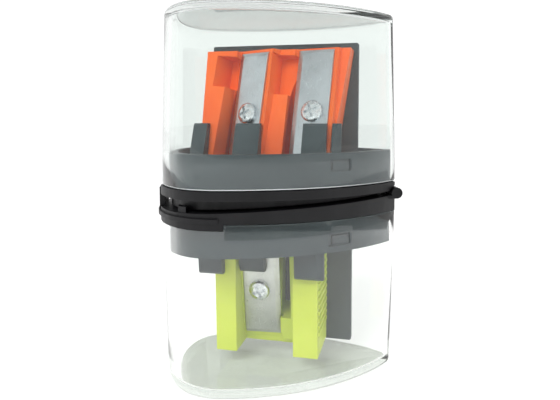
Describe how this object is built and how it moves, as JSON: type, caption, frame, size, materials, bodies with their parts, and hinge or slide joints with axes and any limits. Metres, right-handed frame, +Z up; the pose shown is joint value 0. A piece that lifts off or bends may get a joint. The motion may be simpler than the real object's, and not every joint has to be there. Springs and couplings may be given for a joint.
{
  "type": "pencil sharpener",
  "caption": "Egg-section desk pencil sharpener with clear shavings cups above and below hinged black frames, an orange two-hole block and a yellow-green one-hole block.",
  "frame": {"origin": "centre of the outline's box, on the face it stands on", "axes": "+Z up along the height; X along the long side, broad thumb-tab end at -X and hinge at +X; -Y is the side that shows the blades"},
  "size_m": [0.0528, 0.0348, 0.078],
  "materials": {
    "clear_cup": "clear moulded polystyrene",
    "base_grey": "satin",
    "frame_black": "satin",
    "block_orange": "fluorescent moulded",
    "block_yellow": "fluorescent moulded",
    "blade_steel": "ground",
    "screw_zinc": "zinc plated",
    "pin_steel": "drawn"
  },
  "bodies": {
    "lower_container": {"lower_cup": "clear_cup"},
    "lower_half": {"lower_base": "base_grey", "lower_frame": "frame_black", "single_block": "block_yellow", "single_blade": "blade_steel", "single_screw": "screw_zinc", "hinge_pin": "pin_steel"},
    "upper_half": {"upper_frame": "frame_black", "upper_base": "base_grey", "double_block": "block_orange", "standard_blade": "blade_steel", "standard_screw": "screw_zinc", "jumbo_blade": "blade_steel", "jumbo_screw": "screw_zinc"},
    "upper_container": {"upper_cup": "clear_cup"}
  },
  "joints": [
    {"name": "lower_cup_pull", "type": "slide", "parent": "lower_container", "child": "lower_half", "axis": [0, 0, 1], "range_m": [0, 0.036]},
    {"name": "halves_hinge", "type": "hinge", "parent": "lower_half", "child": "upper_half", "pos_m": [0.0252, 0, 0.03905], "axis": [0, 1, 0], "range_deg": [0, 150]},
    {"name": "upper_cup_pull", "type": "slide", "parent": "upper_half", "child": "upper_container", "axis": [0, 0, 1], "range_m": [0, 0.036]}
  ]
}
